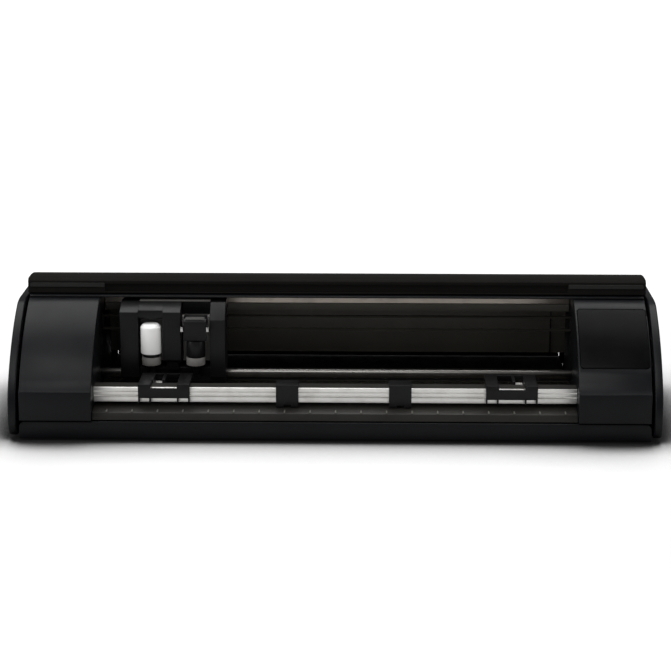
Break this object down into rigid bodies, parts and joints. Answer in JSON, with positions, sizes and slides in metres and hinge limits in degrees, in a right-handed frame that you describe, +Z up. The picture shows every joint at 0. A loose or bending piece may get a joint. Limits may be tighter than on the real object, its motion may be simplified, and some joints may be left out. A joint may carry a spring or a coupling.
{
  "type": "vinyl cutter",
  "caption": "Desktop vinyl cutter with a sliding cover parked open, touch display, tool carriage, pinch bar and a pull-out roll drawer.",
  "frame": {"origin": "centre of the bounding box at the level the feet stand on", "axes": "+X along the cutter to the display side, the front with the drawer faces -Y, +Z up"},
  "size_m": [0.65, 0.22, 0.1453],
  "materials": {
    "casing": "glossy charcoal moulding",
    "cover": "semi-gloss charcoal moulding",
    "inner_plastic": "satin black moulding",
    "display_glass": "black cover glass",
    "aluminium": "satin anodised",
    "steel": "ground steel",
    "brass": "turned brass",
    "white_plastic": "white moulding",
    "grey_plastic": "grey moulding",
    "rubber": "matt rubber",
    "circuit_board": "green solder mask"
  },
  "bodies": {
    "chassis": {"bar_clip_left": "inner_plastic", "bar_clip_right": "inner_plastic", "base_pan": "inner_plastic", "carriage_belt": "rubber", "carriage_motor": "steel", "cutting_strip": "white_plastic", "display_glass": "display_glass", "display_screen": "inner_plastic", "end_cap_left": "casing", "end_cap_right": "casing", "feed_motor": "steel", "foot_front_left": "rubber", "foot_front_right": "rubber", "foot_rear_left": "rubber", "foot_rear_right": "rubber", "front_tray": "inner_plastic", "guide_rod": "steel", "idler_bracket": "inner_plastic", "inner_back_wall": "casing", "main_board": "circuit_board", "pinch_bar": "aluminium", "platen": "inner_plastic", "power_inlet": "inner_plastic", "rear_cover": "inner_plastic", "rear_platen": "inner_plastic", "roller_bush_left": "brass", "roller_bush_right": "brass", "side_housing_left": "casing", "side_housing_right": "casing", "top_cover": "inner_plastic", "upper_rail": "aluminium", "usb_port": "steel"},
    "cover": {"sliding_cover": "cover"},
    "drive_roller_body": {"drive_roller": "steel", "roller_gear": "white_plastic"},
    "feed_pinion_body": {"feed_pinion": "brass"},
    "holder_left": {"roller_holder_left": "inner_plastic"},
    "holder_right": {"roller_holder_right": "inner_plastic"},
    "pinch_left": {"pinch_roller_left": "grey_plastic"},
    "pinch_right": {"pinch_roller_right": "grey_plastic"},
    "carriage": {"carriage_frame": "inner_plastic", "carriage_top_plate": "grey_plastic"},
    "first_lift": {"first_tool_lift": "inner_plastic", "first_tool_body": "brass", "first_tool_blade": "steel", "first_tool_cap": "white_plastic"},
    "second_lift": {"second_tool_lift": "inner_plastic", "lever_pin": "steel", "second_tool_sleeve": "inner_plastic"},
    "lever": {"lock_lever": "inner_plastic"},
    "drive_pulley_body": {"drive_pulley": "steel"},
    "idler_pulley_body": {"idler_pulley": "steel"},
    "drawer": {"roll_drawer": "casing"},
    "support_front": {"roll_support_front": "rubber"},
    "support_rear": {"roll_support_rear": "rubber"},
    "power_button_body": {"power_button": "inner_plastic"}
  },
  "joints": [
    {"name": "cover_slide", "type": "hinge", "parent": "chassis", "child": "cover", "pos_m": [0, 0, 0.0216], "axis": [1, 0, 0], "range_deg": [0, 63]},
    {"name": "carriage_slide", "type": "slide", "parent": "chassis", "child": "carriage", "axis": [1, 0, 0], "range_m": [-0.015, 0.345]},
    {"name": "first_tool_lift_slide", "type": "slide", "parent": "carriage", "child": "first_lift", "axis": [0, 0, 1], "range_m": [-0.004, 0], "stiffness_N_per_m": 400, "springref_m": 0.004},
    {"name": "second_tool_lift_slide", "type": "slide", "parent": "carriage", "child": "second_lift", "axis": [0, 0, 1], "range_m": [-0.004, 0], "stiffness_N_per_m": 400, "springref_m": 0.004},
    {"name": "lock_lever_hinge", "type": "hinge", "parent": "second_lift", "child": "lever", "pos_m": [-0.14325, -0.0243, 0.106], "axis": [-1, 0, 0], "range_deg": [0, 40]},
    {"name": "drive_roller_spin", "type": "hinge", "parent": "chassis", "child": "drive_roller_body", "pos_m": [0, -0.0553, 0.028], "axis": [1, 0, 0], "continuous": true},
    {"name": "feed_pinion_spin", "type": "hinge", "parent": "chassis", "child": "feed_pinion_body", "pos_m": [0.25, -0.0353, 0.028], "axis": [1, 0, 0], "continuous": true},
    {"name": "holder_left_slide", "type": "slide", "parent": "chassis", "child": "holder_left", "axis": [1, 0, 0], "range_m": [-0.03, 0.06]},
    {"name": "holder_right_slide", "type": "slide", "parent": "chassis", "child": "holder_right", "axis": [1, 0, 0], "range_m": [-0.06, 0.03]},
    {"name": "pinch_left_spin", "type": "hinge", "parent": "holder_left", "child": "pinch_left", "pos_m": [-0.1785, -0.0553, 0.0423], "axis": [1, 0, 0], "continuous": true},
    {"name": "pinch_right_spin", "type": "hinge", "parent": "holder_right", "child": "pinch_right", "pos_m": [0.1855, -0.0553, 0.0423], "axis": [1, 0, 0], "continuous": true},
    {"name": "drive_pulley_spin", "type": "hinge", "parent": "chassis", "child": "drive_pulley_body", "pos_m": [-0.264, 0.0005, 0.096], "axis": [0, 1, 0], "range_deg": [-126, 2870]},
    {"name": "idler_pulley_spin", "type": "hinge", "parent": "chassis", "child": "idler_pulley_body", "pos_m": [0.264, 0.0005, 0.096], "axis": [0, 1, 0], "range_deg": [-126, 2870]},
    {"name": "drawer_slide", "type": "slide", "parent": "chassis", "child": "drawer", "axis": [0, -1, 0], "range_m": [0, 0.085]},
    {"name": "support_front_spin", "type": "hinge", "parent": "drawer", "child": "support_front", "pos_m": [0, -0.076, 0.014], "axis": [1, 0, 0], "continuous": true},
    {"name": "support_rear_spin", "type": "hinge", "parent": "drawer", "child": "support_rear", "pos_m": [0, -0.028, 0.014], "axis": [1, 0, 0], "continuous": true},
    {"name": "power_button_press", "type": "slide", "parent": "chassis", "child": "power_button_body", "axis": [0, -1, 0], "range_m": [0, 0.002], "stiffness_N_per_m": 400, "springref_m": -0.001}
  ],
  "couplings": [
    {"joint": "feed_pinion_spin", "follows": "drive_roller_spin", "ratio": -2.3333},
    {"joint": "pinch_left_spin", "follows": "drive_roller_spin", "ratio": -1.3333},
    {"joint": "pinch_right_spin", "follows": "drive_roller_spin", "ratio": -1.3333},
    {"joint": "drive_pulley_spin", "follows": "carriage_slide", "rad_per_m": 144.93},
    {"joint": "idler_pulley_spin", "follows": "carriage_slide", "rad_per_m": 144.93}
  ]
}
